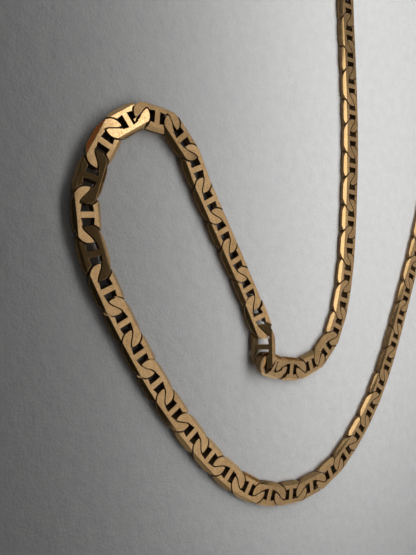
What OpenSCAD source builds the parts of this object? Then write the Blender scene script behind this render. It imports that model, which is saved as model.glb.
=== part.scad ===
// Flat mariner link chain, a closed neck chain lying on a table.
// Oval links with a cross bar interlock flat: each end lies half over and half under its neighbour.
// The loop lies on z = 0. Millimetres and degrees.

/* [Links] */
// Distance from one bar to the next along the chain
link_pitch = 6.4; // [5.8:0.1:7.2]
// Width of a link over its two rails
link_width = 5.0; // [4.4:0.1:5.8]
// Thickness of a link, face to face
link_thick = 1.9; // [1.6:0.1:2.4]
// Width of the flat face between the cut edges
face_width = 3.7; // [3.2:0.1:4.2]
// Height of the plain wall left between the two cut edges
wall_height = 0.56; // [0.3:0.02:0.8]
// Width of the cross bar
bar_width = 1.06; // [0.8:0.02:1.4]
// Width of the holes beside the bar
hole_width = 2.3; // [2:0.1:2.5]
// Width of the holes at their far end
hole_end_width = 1.9; // [1.7:0.1:2.2]

/* [Noses] */
// How far a link's nose reaches past the middle between two bars
nose_reach = 1.47; // [1.2:0.05:1.6]
// Roundness of the link's outline, 2 for an oval and more for squarer ends
nose_power = 2.3; // [2:0.1:2.8]
// How far the outline would bulge past the rails if they weren't cut straight
side_bulge = 0.1; // [0.05:0.05:0.3]
// How far the line between two noses swings to each side
swing = 0.8; // [0.6:0.05:0.85]
// Clearance between neighbouring links
link_gap = 0.24; // [0.2:0.02:0.3]

/* [Jump rings] */
// Wire of the jump rings
ring_wire = 0.9; // [0.7:0.05:1.1]
// Inside diameter of the jump rings
ring_inside = 3.5; // [3.3:0.1:4.2]
// Length of the closed end of the links that hold a jump ring
end_wall = 1.0; // [0.8:0.05:1.2]
// Clearance between two pieces inside a jump ring
seat_gap = 0.2; // [0.12:0.02:0.3]

/* [Clasp] */
// Width of the clasp at its hook
clasp_width = 6.4; // [5.6:0.1:7]
// Width of the clasp at its eye
clasp_tail = 3.8; // [3.4:0.1:4.6]
// Thickness of the clasp
clasp_thick = 1.9; // [1.6:0.1:2.2]
// Wall of the clasp's hook
clasp_wall = 1.1; // [0.9:0.05:1.3]
// Width of the cut edge round the clasp
clasp_edge = 0.35; // [0.2:0.05:0.5]

/* [Hidden] */

// Steps of a nose's outline and of the line between two noses
nose_steps = 12;
line_steps = 8;
// Facets of the clasp's round ends
clasp_facets = 32;
// Width of the opening's narrow end in the clasp, as a share of its wide end
throat_share = 1 / 3;
// Facets of a jump ring round its loop and round its wire
ring_facets = 48;
// Number of the first and last link in the stretch that the photo shows, counted from the clasp
first_seen = 14;
last_seen = 68;

// Middle of a jump ring to the middle of its wire, and how far it lifts the links that it holds
ring_radius = (ring_inside + ring_wire) / 2;
lift = max(0, ring_radius + ring_wire / 2 - link_thick / 2);
// Height of the links on the way up to the rings
low_lift = 0.3 * lift;

// The way the chain lies. Each row: length along the chain, x, y, height of the middle, roll in degrees.
// The height and roll are 0 where the links lie flat on the table.
route = [
    [0, -76, 129, lift, 0],
    [12, -88, 129, low_lift, 0],
    [24, -100, 127.5, 0.05, 0],
    [34, -107, 121, 0, 0],
    [44, -110, 111.5, 0, 0],
    [54, -107, 102, 0, 0],
    [64, -100, 95.5, 0, 0],
    [74, -90, 93.5, 0, 0],
    [99, -64.5, 94, 0, 0],
    [130, -34, 95, 0, 0],
    [156, -8, 93.5, 0, 0],
    [168, 4, 91.5, 0, 0],
    [178, 13.5, 88, 0, 0],
    [186, 19, 82.5, 0, 0],
    [192, 20.5, 77, 0.1, 0],
    [198, 19.5, 71, 0.4, 0],
    [205, 17.5, 65.5, 1.65, -14],
    [211, 11.5, 66, 1.12, -20],
    [218, 5, 63.5, 0.4, 0],
    [228, -4, 59, 0.1, 0],
    [246, -20, 50.5, 0.1, 0],
    [252, -25.5, 48, 0.2, 3],
    [259, -29.5, 42.5, 0.3, 4],
    [266, -27.5, 35.5, 0.3, 3],
    [273, -22, 31.5, 0.4, 1],
    [282, -13.5, 28.5, 0.4, 1],
    [292, -3.5, 30, 0.4, 1],
    [304, 7.5, 35, 0.1, 0],
    [322, 23, 44, 0, 0],
    [342, 38.5, 56.5, 0, 0],
    [355, 45.5, 67, 0, 0],
    [368, 47, 79.5, 0, 0],
    [380, 42.5, 90.5, 0, 0],
    [400, 28, 104, 0, 0],
    [432, -0.5, 118, 0, 0],
    [444, -11.5, 122.5, 0, 0],
    [456, -23, 126.5, 0, 0],
    [471, -37.5, 129, 0.05, 0],
    [481, -47.5, 129, low_lift, 0],
    [493, -59.5, 129, lift, 0]
];
// The point of the route's plan that lies on the part's own axis
plan_middle = [-31.3, 79.2];
// Links that lie tipped by themselves: number of the link, roll in degrees
tipped = [[32, -20], [43, 6], [45, 7.5]];

// Lengths that follow from the sizes above
chain_length = route[len(route) - 1][0];
link_count = round(chain_length / link_pitch);
step = chain_length / link_count;
reach = link_pitch / 2 + nose_reach;
half_bulge = link_width / 2 + side_bulge;
cut_reach = link_pitch + link_width;

// Point, height and roll at a length along the chain, on a smooth curve through the rows of the route
function row_before(s, i = 0) = i >= len(route) - 2 || route[i + 1][0] > s ? i : row_before(s, i + 1);
function slope(i) =
    let (a = route[max(i - 1, 0)], b = route[min(i + 1, len(route) - 1)])
    (b - a) / (b[0] - a[0]);
function on_route(s) =
    let (i = row_before(s), a = route[i], b = route[i + 1], h = b[0] - a[0], u = (s - a[0]) / h)
    (2 * u ^ 3 - 3 * u ^ 2 + 1) * a + (u ^ 3 - 2 * u ^ 2 + u) * h * slope(i)
    + (3 * u ^ 2 - 2 * u ^ 3) * b + (u ^ 3 - u ^ 2) * h * slope(i + 1);
function unit(v) = v / norm(v);

// A frame is [origin, x axis, y axis, z axis]
function placed(f) = [
    [f[1].x, f[2].x, f[3].x, f[0].x],
    [f[1].y, f[2].y, f[3].y, f[0].y],
    [f[1].z, f[2].z, f[3].z, f[0].z],
    [0, 0, 0, 1]
];
function upright(origin, ahead, up) =
    let (z = unit(up - (up * ahead) * ahead))
    [origin, ahead, cross(z, ahead), z];
function rolled(f, angle) = [
    f[0],
    f[1],
    cos(angle) * f[2] + sin(angle) * f[3],
    cos(angle) * f[3] - sin(angle) * f[2]
];
function turned(f) = [f[0], -f[1], -f[2], f[3]];
function own_roll(k) = let (found = [for (t = tipped) if (t[0] == k) t[1]]) len(found) > 0 ? found[0] : 0;

// Where the links meet, and the frame of each link with its bar in the middle
meets = [for (k = [0 : link_count]) let (p = on_route(k * step))
    [p[1] - plan_middle.x, p[2] - plan_middle.y, p[3] + link_thick / 2]];
links = [
    for (k = [0 : link_count - 1])
        rolled(
            upright((meets[k] + meets[k + 1]) / 2, unit(meets[k + 1] - meets[k]), [0, 0, 1]),
            on_route((k + 0.5) * step)[4] + own_roll(k)
        )
];
function meeting(k) = upright(meets[k], unit(links[k - 1][1] + links[k][1]), links[k - 1][3] + links[k][3]);
function hand(k) = k % 2 == 0 ? -1 : 1;
function seen(k) = k >= first_seen && k <= last_seen;

// Oval outline of a link, grown by a clearance
function nose_x(y, grow) =
    (reach + grow) * (1 - abs(y / (half_bulge + grow)) ^ nose_power) ^ (1 / nose_power);
function nose_points(grow) =
    let (half = link_width / 2 + grow)
    [for (i = [0 : nose_steps]) let (y = -half * cos(180 * i / nose_steps)) [nose_x(y, grow), y]];
function outline(grow) = concat(nose_points(grow), [for (p = nose_points(grow)) -p]);

// Line between two noses, from one rail across to the other
function line_y(x) = -swing * sin(90 * max(-1, min(1, x / nose_reach)));

module flat_bar(points) {
    translate([0, 0, -link_thick])
        linear_extrude(2 * link_thick)
            polygon(points);
}

// Section across a link: flat faces, cut edges and a low plain wall
module edged_bar() {
    f = face_width / 2;
    w = link_width / 2;
    t = link_thick / 2;
    s = wall_height / 2;
    rotate([90, 0, 90])
        translate([0, 0, -cut_reach])
            linear_extrude(2 * cut_reach)
                polygon([[f, t], [w, s], [w, -s], [f, -t], [-f, -t], [-w, -s], [-w, s], [-f, t]]);
}

module blank() {
    intersection() {
        flat_bar(outline(0));
        edged_bar();
    }
}

// Hole on one side of the bar, which narrows along both noses to the middle between two bars
module hole() {
    near = bar_width / 2;
    far = step / 2 - nose_reach;
    a = hole_width / 2;
    b = hole_end_width / 2;
    edge = [
        for (i = [0 : line_steps - 1]) let (u = i / line_steps)
            [far + u * nose_reach, (swing - link_gap / 4) * cos(90 * u)]
    ];
    flat_bar(concat(
        [[near, a], [far, b]],
        edge,
        [[step / 2, 0]],
        [for (i = [line_steps - 1 : -1 : 0]) [edge[i].x, -edge[i].y]],
        [[far, -b], [near, -a]]
    ));
}

// Hole of an end link, up to the closed end that holds a jump ring
module ring_hole() {
    near = bar_width / 2;
    far = reach - end_wall;
    a = hole_width / 2;
    b = hole_end_width / 2;
    flat_bar([[near, -a], [near, a], [far, b], [far, -b]]);
}

// Room for the neighbour: its outline on one side of the line between the noses, over and under
module room(neighbour, place, side) {
    ahead = neighbour[0] - place[0];
    bend = atan2(ahead * place[2], ahead * place[1]);
    away = norm(ahead);
    grow = link_gap + link_thick / 2 * sin(acos(min(1, neighbour[3] * place[3])));
    for (half = [1, -1])
        translate([0, 0, half > 0 ? -link_gap / 2 : -cut_reach])
            linear_extrude(cut_reach + link_gap / 2)
                intersection() {
                    rotate(bend)
                        translate([away, 0])
                            polygon(outline(grow));
                    polygon(concat(
                        [for (i = [0 : line_steps]) let (x = (2 * i / line_steps - 1) * nose_reach)
                            [x, side * half * (line_y(x) + link_gap / 2)]],
                        [[cut_reach, side * half * (line_y(cut_reach) + link_gap / 2)],
                            [cut_reach, -side * half * cut_reach],
                            [-cut_reach, -side * half * cut_reach],
                            [-cut_reach, side * half * (line_y(-cut_reach) + link_gap / 2)]]
                    ));
                }
}

module link(k) {
    last = link_count - 1;
    difference() {
        multmatrix(placed(links[k]))
            difference() {
                blank();
                if (k < last)
                    hole();
                else
                    ring_hole();
                rotate(180)
                    if (k > 0)
                        hole();
                    else
                        ring_hole();
            }
        if (k < last)
            multmatrix(placed(meeting(k + 1)))
                room(links[k + 1], meeting(k + 1), hand(k));
        if (k > 0)
            multmatrix(placed(turned(meeting(k))))
                room(links[k - 1], turned(meeting(k)), hand(k - 1));
    }
}
// Middles of the two jump rings, just past the tips of the end links
function past_tip(k, way) = links[k][0] + way * (reach + seat_gap / 2) * links[k][1];
eye_middle = past_tip(0, -1);
hook_middle = past_tip(link_count - 1, 1);
clasp_way = unit(hook_middle - eye_middle);
clasp_length = norm(hook_middle - eye_middle) - seat_gap;

module jump_ring(middle) {
    multmatrix(placed([middle, clasp_way, [0, 0, 1], cross(clasp_way, [0, 0, 1])]))
        rotate_extrude($fn = ring_facets)
            translate([ring_radius, 0])
                circle(d = ring_wire, $fn = ring_facets / 2);
}

module hook_ring() {
    color("goldenrod") jump_ring(hook_middle);
}

module eye_ring() {
    color("goldenrod") jump_ring(eye_middle);
}

// Disc with its two edges cut back
module edged_disc(x, radius) {
    translate([x, 0, -clasp_thick / 2]) {
        cylinder(r = radius - clasp_edge, h = clasp_thick, $fn = clasp_facets);
        translate([0, 0, clasp_edge])
            cylinder(r = radius, h = clasp_thick - 2 * clasp_edge, $fn = clasp_facets);
    }
}

// Closed clasp: a drop-shaped hook and a drilled eye, in one plain piece
module clasp() {
    hook_x = clasp_length - clasp_width / 2;
    inside = clasp_width / 2 - clasp_wall;
    throat = throat_share * inside;
    // The eye holds the ring's wire, from its near side at the clasp's faces to its far side
    wire_near = sqrt((ring_inside / 2) ^ 2 - (clasp_thick / 2) ^ 2);
    wire_far = ring_inside / 2 + ring_wire;
    eye_x = (wire_near + wire_far - seat_gap) / 2;
    eye_radius = (wire_far - wire_near) / 2 + seat_gap;
    throat_x = eye_x + eye_radius + clasp_wall;
    color("darkgoldenrod")
        multmatrix(placed(upright(eye_middle + clasp_way * seat_gap / 2, clasp_way, [0, 0, 1])))
            difference() {
                hull() {
                    edged_disc(clasp_tail / 2, clasp_tail / 2);
                    edged_disc(hook_x, clasp_width / 2);
                }
                translate([eye_x, 0, -clasp_thick])
                    cylinder(r = eye_radius, h = 2 * clasp_thick, $fn = clasp_facets);
                translate([0, 0, -clasp_thick])
                    linear_extrude(2 * clasp_thick) {
                        translate([hook_x, 0])
                            circle(r = inside, $fn = clasp_facets);
                        polygon([
                            [throat_x, -throat],
                            [throat_x, throat],
                            [hook_x, inside],
                            [hook_x, -inside]
                        ]);
                    }
            }
}

module front_links() {
    color("peru")
        for (k = [0 : link_count - 1])
            if (seen(k))
                link(k);
}

module back_links() {
    color("peru")
        for (k = [0 : link_count - 1])
            if (!seen(k))
                link(k);
}

front_links();
back_links();
hook_ring();
eye_ring();
clasp();
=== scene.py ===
"""Looks of a flat mariner link neck chain: worn gold plate with painted shade on its walls, a pale floor,
soft light and the camera.
"""

import logging
import math
import random
from collections.abc import Iterator, Sequence
from dataclasses import dataclass, field
from enum import Enum

import bmesh
import bpy
from mathutils import Matrix, Vector
from mathutils.bvhtree import BVHTree


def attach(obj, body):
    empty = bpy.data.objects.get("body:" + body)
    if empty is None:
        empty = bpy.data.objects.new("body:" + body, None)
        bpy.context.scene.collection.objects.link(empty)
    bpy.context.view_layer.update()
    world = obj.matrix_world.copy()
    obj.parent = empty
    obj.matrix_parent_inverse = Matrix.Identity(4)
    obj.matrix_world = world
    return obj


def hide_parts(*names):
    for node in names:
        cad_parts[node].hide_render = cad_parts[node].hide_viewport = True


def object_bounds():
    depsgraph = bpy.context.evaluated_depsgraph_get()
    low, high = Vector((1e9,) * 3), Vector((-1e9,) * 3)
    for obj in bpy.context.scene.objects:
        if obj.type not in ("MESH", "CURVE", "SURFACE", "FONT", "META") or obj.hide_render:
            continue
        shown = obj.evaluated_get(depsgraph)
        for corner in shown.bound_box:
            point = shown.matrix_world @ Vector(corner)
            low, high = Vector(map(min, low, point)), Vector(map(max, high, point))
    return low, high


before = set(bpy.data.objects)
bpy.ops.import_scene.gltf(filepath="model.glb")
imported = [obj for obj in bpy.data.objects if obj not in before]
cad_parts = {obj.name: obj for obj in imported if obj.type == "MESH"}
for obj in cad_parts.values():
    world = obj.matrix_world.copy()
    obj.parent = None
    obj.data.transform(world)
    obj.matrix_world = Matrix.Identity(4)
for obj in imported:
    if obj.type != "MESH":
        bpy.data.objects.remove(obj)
CAD_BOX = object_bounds()

log = logging.getLogger("mariner_link_chain")

Colour = tuple[float, float, float]
Span = tuple[float, float]

MM = 0.001
BODY = "root"
GRAIN = "grain"
TONE = "link_tone"

# How far a surface leans from its link's own up where the flat face ends, and where the cut edge ends
FACE_LEAN = math.radians(24)
CUT_LEAN = math.radians(66)
# Places of a colour mix node's sockets
MIX_SHARE, MIX_FIRST, MIX_SECOND, MIX_RESULT = 0, 6, 7, 2
# Ranges that the finishes map from and to
SOFT_SPAN: Span = (0.3, 0.7)
FULL: Span = (0.0, 1.0)
HALF: Span = (0.0, 0.5)
# Colours of the lights
WHITE: Colour = (1.0, 1.0, 1.0)
WARM: Colour = (1.0, 0.43, 0.23)
YELLOW: Colour = (1.0, 0.84, 0.42)
# Middle of the chain's seen part along X
SEEN_MIDDLE = 31.0 * MM


class Surface(Enum):
    """Kinds of surface on a gold piece. The value is the piece's material slot for it."""

    FACE = 0
    CUT = 1
    WALL = 2

    @classmethod
    def of_lean(cls, lean: float) -> "Surface":
        """Tells the kind of surface from how far it leans away from the link's own up, in radians."""
        lean = min(lean, math.pi - lean)
        if lean < FACE_LEAN:
            return cls.FACE
        return cls.CUT if lean < CUT_LEAN else cls.WALL

    @classmethod
    def of(cls, normal: Vector) -> "Surface":
        """Tells the kind of surface from its normal in the link's own frame."""
        return cls.of_lean(math.acos(max(-1.0, min(1.0, normal.z))))


class ShaderTree:
    """A material's node tree round one principled surface, with short calls that add and join nodes."""

    def __init__(self, name: str) -> None:
        """Makes an empty material.

        Args:
            name: The material's name.
        """
        self.material = bpy.data.materials.new(name)
        self.material.use_nodes = True
        self.tree = self.material.node_tree
        self.tree.nodes.clear()
        self.surface = self.add("ShaderNodeBsdfPrincipled")
        output = self.add("ShaderNodeOutputMaterial")
        self.join(self.surface.outputs["BSDF"], output.inputs["Surface"])

    def add(self, kind: str) -> bpy.types.Node:
        """Adds a node of that kind."""
        return self.tree.nodes.new(kind)

    def join(self, source: bpy.types.NodeSocket, target: bpy.types.NodeSocket) -> None:
        """Links an output to an input."""
        self.tree.links.new(source, target)

    def attribute(self, name: str, output: str = "Vector") -> bpy.types.NodeSocket:
        """Reads a value stored on the mesh.

        Args:
            name: The attribute's name.
            output: Which form of it is wanted, Vector or Fac.

        Returns:
            The socket that gives it.
        """
        node = self.add("ShaderNodeAttribute")
        node.attribute_name = name
        return node.outputs[output]

    def scaled(self, place: bpy.types.NodeSocket, factors: Sequence[float]) -> bpy.types.NodeSocket:
        """Multiplies a position by one factor per axis.

        Args:
            place: The socket with the position.
            factors: The three factors.

        Returns:
            The socket with the scaled position.
        """
        node = self.add("ShaderNodeVectorMath")
        node.operation = "MULTIPLY"
        self.join(place, node.inputs[0])
        node.inputs[1].default_value = factors
        return node.outputs[0]

    def noise(self, place: bpy.types.NodeSocket, size: float, detail: float = 2.0,
              distortion: float = 0.0) -> bpy.types.NodeSocket:
        """Adds soft noise.

        Args:
            place: The socket with the position.
            size: Size of the noise's blotches, in the position's own unit.
            detail: How many finer layers it has.
            distortion: How far it is warped.

        Returns:
            The socket with its value, about 0.5 on average.
        """
        node = self.add("ShaderNodeTexNoise")
        self.join(place, node.inputs["Vector"])
        node.inputs["Scale"].default_value = 1 / size
        node.inputs["Detail"].default_value = detail
        node.inputs["Distortion"].default_value = distortion
        return node.outputs[0]

    def cells(self, place: bpy.types.NodeSocket, size: float) -> bpy.types.NodeSocket:
        """Adds the distance to scattered points.

        Args:
            place: The socket with the position.
            size: Mean distance between the points, in the position's own unit.

        Returns:
            The socket with the distance to the nearest point.
        """
        node = self.add("ShaderNodeTexVoronoi")
        self.join(place, node.inputs["Vector"])
        node.inputs["Scale"].default_value = 1 / size
        return node.outputs["Distance"]

    def ranged(self, value: bpy.types.NodeSocket, source: Span, target: Span) -> bpy.types.NodeSocket:
        """Maps a value from one range to another, and holds it inside.

        Args:
            value: The socket with the value.
            source: The range that it comes from.
            target: The range that it goes to.

        Returns:
            The socket with the mapped value.
        """
        node = self.add("ShaderNodeMapRange")
        self.join(value, node.inputs["Value"])
        for name, number in zip(("From Min", "From Max", "To Min", "To Max"), (*source, *target)):
            node.inputs[name].default_value = number
        return node.outputs["Result"]

    def sum_of(self, first: bpy.types.NodeSocket, second: bpy.types.NodeSocket) -> bpy.types.NodeSocket:
        """Adds two values."""
        node = self.add("ShaderNodeMath")
        self.join(first, node.inputs[0])
        self.join(second, node.inputs[1])
        return node.outputs[0]

    def mixed(self, share: bpy.types.NodeSocket, first: Colour, second: Colour) -> bpy.types.NodeSocket:
        """Mixes two colours.

        Args:
            share: The socket with the second colour's share.
            first: The colour at share 0.
            second: The colour at share 1.

        Returns:
            The socket with the mixed colour.
        """
        node = self.add("ShaderNodeMix")
        node.data_type = "RGBA"
        self.join(share, node.inputs[MIX_SHARE])
        node.inputs[MIX_FIRST].default_value = (*first, 1.0)
        node.inputs[MIX_SECOND].default_value = (*second, 1.0)
        return node.outputs[MIX_RESULT]

    def relief(self, height: bpy.types.NodeSocket, depth: float,
               under: bpy.types.NodeSocket | None = None) -> bpy.types.NodeSocket:
        """Raises the surface by a height map.

        Args:
            height: The socket with the height, from 0 to 1.
            depth: What a height of 1 stands for, in metres.
            under: The normal that the relief goes on, if there is one already.

        Returns:
            The socket with the new normal.
        """
        node = self.add("ShaderNodeBump")
        node.inputs["Distance"].default_value = depth
        self.join(height, node.inputs["Height"])
        if under is not None:
            self.join(under, node.inputs["Normal"])
        return node.outputs["Normal"]


@dataclass(frozen=True)
class GoldFinish:
    """Gold plate: two tones that drift into each other, fine rubbing marks along it, and small pits."""

    name: str
    tone: Colour
    deep_tone: Colour
    roughness: Span
    metal: float
    rub_depth: float
    pit_depth: float
    drift_size: float = 1.3
    drift_span: Span = (0.35, 0.65)
    drift_share: float = 0.35
    grain_size: float = 0.24
    grain_span: Span = (0.40, 0.60)
    grain_share: float = 0.6
    link_share: float = 0.12
    rub_size: float = 0.07
    rub_stretch: float = 14.0
    rub_span: Span = (0.35, 0.7)
    rub_warp: float = 0.3
    pit_spacing: float = 0.55
    pit_radius: float = 0.16

    def material(self) -> bpy.types.Material:
        """Builds the finish as a material.

        Returns:
            The new material.
        """
        shader = ShaderTree(self.name)
        place = shader.attribute(GRAIN)
        drift = shader.noise(place, self.drift_size, detail=3.0)
        grain = shader.noise(place, self.grain_size, detail=2.0)
        tone = shader.sum_of(
            shader.ranged(drift, self.drift_span, (0.0, self.drift_share)),
            shader.ranged(grain, self.grain_span, (0.0, self.grain_share)),
        )
        own_shade = shader.ranged(shader.attribute(TONE, "Fac"), FULL, (-self.link_share, self.link_share))
        tone = shader.sum_of(tone, own_shade)
        shader.join(shader.mixed(tone, self.tone, self.deep_tone), shader.surface.inputs["Base Color"])

        rubbed = shader.scaled(place, (1 / self.rub_stretch, 1.0, 1.0))
        rubs = shader.noise(rubbed, self.rub_size, detail=3.0, distortion=self.rub_warp)
        worn = shader.sum_of(shader.ranged(grain, SOFT_SPAN, HALF), shader.ranged(rubs, self.rub_span, HALF))
        shader.join(shader.ranged(worn, FULL, self.roughness), shader.surface.inputs["Roughness"])

        pits = shader.ranged(shader.cells(place, self.pit_spacing), (0.0, self.pit_radius), FULL)
        normal = shader.relief(pits, self.pit_depth)
        normal = shader.relief(rubs, self.rub_depth, under=normal)
        shader.join(normal, shader.surface.inputs["Normal"])
        shader.surface.inputs["Metallic"].default_value = self.metal
        return shader.material


@dataclass(frozen=True)
class FloorFinish:
    """Matt pale plaster-like board with a low, fine relief."""

    name: str = "pale_board"
    tone: Colour = (0.48, 0.48, 0.475)
    deep_tone: Colour = (0.42, 0.42, 0.42)
    roughness: float = 0.75
    wave_size: float = 2.2 * MM
    wave_depth: float = 0.24 * MM
    grain_size: float = 0.45 * MM
    grain_depth: float = 0.10 * MM
    shine: float = 0.25

    def material(self) -> bpy.types.Material:
        """Builds the finish as a material.

        Returns:
            The new material.
        """
        shader = ShaderTree(self.name)
        place = shader.add("ShaderNodeTexCoord").outputs["Object"]
        waves = shader.noise(place, self.wave_size, detail=2.0)
        grain = shader.noise(place, self.grain_size, detail=2.0)
        tone = shader.sum_of(shader.ranged(waves, SOFT_SPAN, HALF), shader.ranged(grain, SOFT_SPAN, HALF))
        shader.join(shader.mixed(tone, self.tone, self.deep_tone), shader.surface.inputs["Base Color"])
        normal = shader.relief(waves, self.wave_depth)
        normal = shader.relief(grain, self.grain_depth, under=normal)
        shader.join(normal, shader.surface.inputs["Normal"])
        shader.surface.inputs["Roughness"].default_value = self.roughness
        shader.surface.inputs["Specular IOR Level"].default_value = self.shine
        return shader.material


FLAT_GOLD = GoldFinish(
    name="rubbed_gold",
    tone=(0.96, 0.62, 0.31),
    deep_tone=(0.57, 0.335, 0.14),
    roughness=(0.06, 0.16),
    metal=0.92,
    rub_depth=0.0016 * MM,
    pit_depth=0.004 * MM,
)
CUT_GOLD = GoldFinish(
    name="bright_cut_gold",
    tone=(0.92, 0.61, 0.29),
    deep_tone=(0.80, 0.49, 0.21),
    roughness=(0.05, 0.12),
    metal=0.96,
    rub_depth=0.0004 * MM,
    pit_depth=0.001 * MM,
)
# Walls and hole sides: the dark brown tone is painted shade. It stands in for the dark that they mirror from
# the shadowed room and hollows. Only the rougher finish is their own.
WALL_GOLD_PAINTED_SHADE = GoldFinish(
    name="wall_gold_painted_shade",
    tone=(0.22, 0.13, 0.06),
    deep_tone=(0.10, 0.06, 0.03),
    roughness=(0.30, 0.50),
    metal=0.9,
    rub_depth=0.003 * MM,
    pit_depth=0.003 * MM,
)
WIRE_GOLD = GoldFinish(
    name="drawn_gold_wire",
    tone=(0.88, 0.58, 0.28),
    deep_tone=(0.74, 0.46, 0.20),
    roughness=(0.12, 0.26),
    metal=0.9,
    rub_depth=0.001 * MM,
    pit_depth=0.001 * MM,
)


@dataclass
class MeshParts:
    """Points and faces gathered link by link, with what is stored on them."""

    points: list[Vector] = field(default_factory=list)
    faces: list[list[int]] = field(default_factory=list)
    kinds: list[int] = field(default_factory=list)
    grain: list[Vector] = field(default_factory=list)
    tones: list[float] = field(default_factory=list)

    def take(self, work: bmesh.types.BMesh, own: Matrix, start: Vector, tone: float) -> None:
        """Adds one link.

        Args:
            work: The link's mesh.
            own: The matrix from the row frame to the link's own frame.
            start: Where its own coordinates start, in millimetres, so that no two links share a grain.
            tone: The link's own shade, from 0 to 1.
        """
        first = len(self.points)
        for index, v in enumerate(work.verts):
            v.index = index
            self.points.append(v.co.copy())
            self.grain.append((own @ v.co) / MM + start)
            self.tones.append(tone)
        turn = own.to_3x3()
        for f in work.faces:
            self.faces.append([first + v.index for v in f.verts])
            self.kinds.append(Surface.of((turn @ f.normal).normalized()).value)

    def mesh(self, name: str) -> bpy.types.Mesh:
        """Makes one mesh of all that was gathered.

        Args:
            name: The mesh's name.

        Returns:
            The new mesh, smooth, with its kinds of surface as material slots.
        """
        mesh = bpy.data.meshes.new(name)
        mesh.from_pydata(self.points, [], self.faces)
        mesh.polygons.foreach_set("use_smooth", [True] * len(self.faces))
        mesh.polygons.foreach_set("material_index", self.kinds)
        grain = mesh.attributes.new(GRAIN, "FLOAT_VECTOR", "POINT")
        grain.data.foreach_set("vector", [number for place in self.grain for number in place])
        tone = mesh.attributes.new(TONE, "FLOAT", "POINT")
        tone.data.foreach_set("value", self.tones)
        mesh.update()
        return mesh


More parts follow.
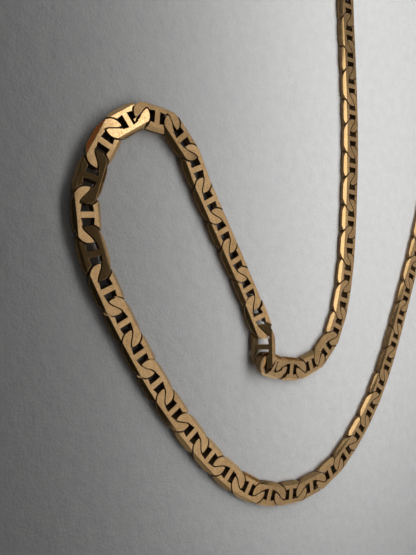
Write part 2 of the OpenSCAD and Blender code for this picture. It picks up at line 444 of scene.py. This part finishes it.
@dataclass
class GoldPiece:
    """A gold piece made from one node of the frame: mesh cleaned, edges softened, surfaces dressed."""

    name: str
    node: str
    slot: str
    face: GoldFinish
    cut: GoldFinish
    wall: GoldFinish
    edge_radius: float = 0.05 * MM
    edge_steps: int = 2
    edge_profile: float = 0.5
    sharp_angle: float = math.radians(25)
    smooth_angle: float = math.radians(34)
    weld: float = 0.002 * MM
    plane_angle: float = math.radians(1)
    fold_angle: float = math.radians(140)
    joins: tuple[float, ...] = (0.14 * MM, 0.1 * MM, 0.06 * MM, 0.03 * MM)
    stray: float = 0.08 * MM
    grain_step: float = 40.0

    def build(self) -> bpy.types.Object:
        """Builds the piece in the place of its node's solids.

        Returns:
            The new object, which rides on the chain's body and stands for those solids.
        """
        whole = bmesh.new()
        whole.from_mesh(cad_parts[self.node].data)
        bmesh.ops.remove_doubles(whole, verts=whole.verts[:], dist=self.weld)
        parts = MeshParts()
        draw = random.Random(self.name)
        for number, faces in enumerate(self.islands(whole)):
            own = self.own_frame(faces)
            best = min((self.rounded(faces, join) for join in self.joins), key=self.faults)
            parts.take(best, own, Vector((number * self.grain_step, 0.0, 0.0)), draw.random())
        piece = bpy.data.objects.new(self.name, parts.mesh(self.name))
        bpy.context.scene.collection.objects.link(piece)
        self.shade(piece)
        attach(piece, BODY)
        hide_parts(self.node)
        return piece

    @staticmethod
    def islands(work: bmesh.types.BMesh) -> Iterator[list[bmesh.types.BMFace]]:
        """Yields the faces of each loose part of a mesh, in a fixed order."""
        seen: set[int] = set()
        work.faces.ensure_lookup_table()
        work.faces.index_update()
        for first in work.faces:
            if first.index in seen:
                continue
            seen.add(first.index)
            part = [first]
            for f in part:
                for other in (o for e in f.edges for o in e.link_faces):
                    if other.index not in seen:
                        seen.add(other.index)
                        part.append(other)
            yield part

    def rounded(self, faces: Sequence[bmesh.types.BMFace], join: float) -> bmesh.types.BMesh:
        """Copies a link, joins the triangles of each plane into one face and rounds the sharp edges.

        A point that the rounding throws clear of the solid goes back onto it.

        Args:
            faces: The link's faces.
            join: Points closer than this become one.

        Returns:
            The rounded link.
        """
        work = bmesh.new()
        copies = {}
        for f in faces:
            for v in f.verts:
                if v not in copies:
                    copies[v] = work.verts.new(v.co)
            work.faces.new([copies[v] for v in f.verts])
        solid = BVHTree.FromBMesh(work)
        self.join_planes(work)
        bmesh.ops.remove_doubles(work, verts=work.verts[:], dist=join)
        bmesh.ops.dissolve_degenerate(work, dist=self.weld, edges=work.edges[:])
        self.join_planes(work)
        work.normal_update()
        sharp = [e for e in work.edges if len(e.link_faces) == 2 and e.calc_face_angle() > self.sharp_angle]
        if sharp:
            bmesh.ops.bevel(
                work, geom=sharp, offset=self.edge_radius, offset_type="OFFSET", segments=self.edge_steps,
                profile=self.edge_profile, affect="EDGES", clamp_overlap=False, loop_slide=True,
            )
        for v in work.verts:
            nearest, _, _, distance = solid.find_nearest(v.co)
            if distance > self.stray:
                v.co = nearest
        work.normal_update()
        return work

    def join_planes(self, work: bmesh.types.BMesh) -> None:
        """Joins neighbouring faces that lie in one plane."""
        bmesh.ops.dissolve_limit(
            work, angle_limit=self.plane_angle, verts=work.verts[:], edges=work.edges[:], delimit=set()
        )

    def faults(self, work: bmesh.types.BMesh) -> int:
        """Counts a rounded link's open edges, which weigh most, and its folded ones."""
        heavy = 100
        open_edges = sum(not e.is_manifold for e in work.edges)
        folds = sum(e.is_manifold and e.calc_face_angle() > self.fold_angle for e in work.edges)
        return heavy * open_edges + folds

    @staticmethod
    def own_frame(faces: Sequence[bmesh.types.BMFace]) -> Matrix:
        """Works out a link's own frame from its largest top face and its largest cut edge.

        Args:
            faces: The link's faces.

        Returns:
            The matrix from the row frame to the link's frame, x along the link and z up through its face.
        """
        lean = 0.85
        tops = [f for f in faces if f.normal.z > lean]
        up = max(tops or faces, key=lambda f: f.calc_area()).normal.normalized()
        risen = [f for f in faces if f.normal.z > 0]
        cuts = [f for f in risen if Surface.of_lean(up.angle(f.normal, 0.0)) is Surface.CUT]
        if cuts:
            along = max(cuts, key=lambda f: f.calc_area()).normal.cross(up).normalized()
        else:
            along = up.orthogonal().normalized()
        if along.x < 0:
            along.negate()
        points = [v.co for f in faces for v in f.verts]
        middle = sum(points, Vector()) / len(points)
        return Matrix((along, up.cross(along), up)).to_4x4() @ Matrix.Translation(-middle)

    def shade(self, piece: bpy.types.Object) -> None:
        """Gives the piece its three finishes and normals that keep the flats flat.

        Args:
            piece: The object to dress.
        """
        for finish in (self.face, self.cut, self.wall):
            known = bpy.data.materials.get(finish.name)
            piece.data.materials.append(known or finish.material())
        piece.data.set_sharp_from_angle(angle=self.smooth_angle)
        weighted = piece.modifiers.new("flat_faces", "WEIGHTED_NORMAL")
        weighted.keep_sharp = True


@dataclass
class Panel:
    """A flat rectangular light that the camera doesn't see.

    With on_gold it shows in mirrored light. With on_floor it lights what is matt, the gold a little too.
    """

    name: str
    place: Vector
    facing: Vector
    wide: float
    high: float
    radiance: float
    on_gold: bool = True
    on_floor: bool = False
    tint: Colour = WHITE

    @classmethod
    def seen_at(cls, name: str, bearing: float, rise: float, wide: float, high: float, radiance: float,
                tint: Colour = WHITE) -> "Panel":
        """Makes a far light from the direction in which the chain sees it and the angles that it fills.

        Args:
            name: The light's name.
            bearing: Direction in plan, in degrees, from +Y at 0 to -X at 90.
            rise: Height above the floor, in degrees.
            wide: Angle that it fills from side to side, in degrees.
            high: Angle that it fills from bottom to top, in degrees.
            radiance: How bright it is.
            tint: The light's colour.

        Returns:
            The light, which faces the middle of the chain's seen part and shows in mirrored light only.
        """
        distance = 2.5
        aim = Vector((SEEN_MIDDLE, 0.0, 0.0))
        turn, level = math.radians(bearing), math.cos(math.radians(rise))
        way = Vector((-math.sin(turn) * level, math.cos(turn) * level, math.sin(math.radians(rise))))
        size = [2 * distance * math.tan(math.radians(angle / 2)) for angle in (wide, high)]
        return cls(name, aim + way * distance, -way, size[0], size[1], radiance, tint=tint)

    def build(self) -> bpy.types.Object:
        """Adds the light to the scene.

        Returns:
            The new light object.
        """
        lamp = bpy.data.lights.new(self.name, "AREA")
        lamp.shape = "RECTANGLE"
        lamp.size = self.wide
        lamp.size_y = self.high
        lamp.color = self.tint
        lamp.energy = self.radiance * math.pi * self.wide * self.high
        light = bpy.data.objects.new(self.name, lamp)
        light.location = self.place
        light.rotation_mode = "QUATERNION"
        light.rotation_quaternion = self.facing.to_track_quat("-Z", "Y")
        light.visible_camera = False
        light.visible_glossy = self.on_gold
        light.visible_diffuse = self.on_floor
        bpy.context.scene.collection.objects.link(light)
        return light


@dataclass
class Studio:
    """A pale floor under the chain, the lights that the gold mirrors, and two for what is matt."""

    floor_middle: Vector
    floor_reach: float = 1.5
    floor_cells: int = 4
    surround: Colour = (0.006, 0.006, 0.005)

    def build(self) -> None:
        """Builds the floor, the lights and the dim glow from all round."""
        self.floor()
        for panel in self.panels():
            light = panel.build()
            log.info("light %s: %.3g W", light.name, light.data.energy)
        self.dim_glow()

    def floor(self) -> bpy.types.Object:
        """Adds the floor.

        Returns:
            The floor.
        """
        mesh = bpy.data.meshes.new("floor")
        work = bmesh.new()
        cells = self.floor_cells
        bmesh.ops.create_grid(work, x_segments=cells, y_segments=cells, size=self.floor_reach)
        work.to_mesh(mesh)
        work.free()
        floor = bpy.data.objects.new("floor", mesh)
        floor.location = self.floor_middle
        floor.data.materials.append(FloorFinish().material())
        bpy.context.scene.collection.objects.link(floor)
        return floor

    @staticmethod
    def panels() -> list[Panel]:
        """Lists the studio's lights.

        Returns:
            The parts of the broad light, two bright strips, the small lights at the sides and above, two
            faint tinted panels, and the two lights for what is matt.
        """
        return [
            Panel.seen_at("broad_light_upper", bearing=-17, rise=62.5, wide=52, high=33, radiance=0.48),
            Panel.seen_at("broad_light_side", bearing=47, rise=49, wide=27, high=10, radiance=0.39),
            Panel.seen_at("broad_light_lower", bearing=-17, rise=25, wide=43, high=42, radiance=0.29),
            Panel.seen_at("broad_light_far", bearing=-60, rise=22, wide=29, high=40, radiance=0.29),
            Panel.seen_at("broad_light_corner", bearing=18, rise=21.5, wide=14, high=43, radiance=0.22),
            Panel.seen_at("broad_light_dim", bearing=47, rise=21.5, wide=40, high=43, radiance=0.13),
            Panel.seen_at("broad_light_end", bearing=87, rise=36, wide=26, high=14, radiance=0.33),
            Panel.seen_at("bright_strip_one", bearing=156.5, rise=47.2, wide=22, high=6, radiance=1.3),
            Panel.seen_at("bright_strip_two", bearing=119, rise=45.3, wide=26, high=6.4, radiance=1.0),
            Panel.seen_at("high_light", bearing=47, rise=58, wide=8, high=7.5, radiance=1.7),
            Panel.seen_at("warm_corner", bearing=127, rise=8, wide=16, high=16, radiance=0.11, tint=WARM),
            Panel.seen_at("side_glow", bearing=260, rise=8, wide=28, high=15, radiance=0.13),
            Panel.seen_at("side_lamp", bearing=282, rise=3, wide=12, high=10, radiance=1.1),
            Panel.seen_at("dark_side", bearing=215, rise=52, wide=90, high=56, radiance=0.01, tint=YELLOW),
            Panel.seen_at("dark_top", bearing=150, rise=80, wide=50, high=36, radiance=0.015, tint=YELLOW),
            Panel(
                "floor_light", place=Vector((-62.0, 29.0, 80.0)) * MM, facing=Vector((0.0, 0.485, -0.875)),
                wide=323 * MM, high=109 * MM, radiance=2.9, on_gold=False, on_floor=True,
            ),
            Panel(
                "floor_fill", place=Vector((SEEN_MIDDLE, 0.0, 2500.0 * MM)), facing=Vector((0.0, 0.0, -1.0)),
                wide=6000 * MM, high=6000 * MM, radiance=0.11, on_gold=False, on_floor=True,
            ),
        ]

    def dim_glow(self) -> None:
        """Sets the dim light that comes from everywhere."""
        world = bpy.data.worlds.new("surround")
        world.use_nodes = True
        world.node_tree.nodes["Background"].inputs["Color"].default_value = (*self.surround, 1.0)
        bpy.context.scene.world = world


@dataclass
class PhotoCamera:
    """The camera where the fit to the photo puts it: 80 mm above the floor, looking steeply down."""

    place: Vector
    below_level: float
    roll: float
    lens: float
    sensor: float = 36.0
    near: float = 1 * MM
    far: float = 20.0

    def build(self) -> bpy.types.Object:
        """Adds the camera and makes it the scene's own.

        Returns:
            The new camera object.
        """
        data = bpy.data.cameras.new("photo_camera")
        data.lens = self.lens
        data.sensor_width = self.sensor
        data.clip_start = self.near
        data.clip_end = self.far
        camera = bpy.data.objects.new("photo_camera", data)
        quarter = math.pi / 2
        turn = Matrix.Rotation(quarter - math.radians(self.below_level), 4, "X")
        turn = turn @ Matrix.Rotation(math.radians(self.roll), 4, "Z")
        camera.matrix_world = Matrix.Translation(self.place) @ turn
        bpy.context.scene.collection.objects.link(camera)
        bpy.context.scene.camera = camera
        return camera


def main() -> None:
    """Builds the pieces, the studio and the camera, in that order."""
    logging.basicConfig(level=logging.INFO, format="%(message)s")
    pieces = [
        GoldPiece("front_run", "front_links", "links", FLAT_GOLD, CUT_GOLD, WALL_GOLD_PAINTED_SHADE),
        GoldPiece("back_run", "back_links", "links", FLAT_GOLD, CUT_GOLD, WALL_GOLD_PAINTED_SHADE),
        GoldPiece("hook_ring_wire", "hook_ring", "rings", WIRE_GOLD, WIRE_GOLD, WIRE_GOLD),
        GoldPiece("eye_ring_wire", "eye_ring", "rings", WIRE_GOLD, WIRE_GOLD, WIRE_GOLD),
        GoldPiece("clasp_body", "clasp", "clasp", CUT_GOLD, CUT_GOLD, WIRE_GOLD, edge_radius=0.1 * MM),
    ]
    for piece in pieces:
        made = piece.build()
        log.info("piece %s: %d faces", made.name, len(made.data.polygons))

    low, _ = CAD_BOX
    Studio(floor_middle=Vector((SEEN_MIDDLE, 0.0, low.z))).build()
    PhotoCamera(place=Vector((31.3, -79.2, 80.14)) * MM, below_level=56.08, roll=89.26, lens=31.93).build()
    bpy.context.scene.view_settings.view_transform = "Standard"


if __name__ == "__main__":
    main()
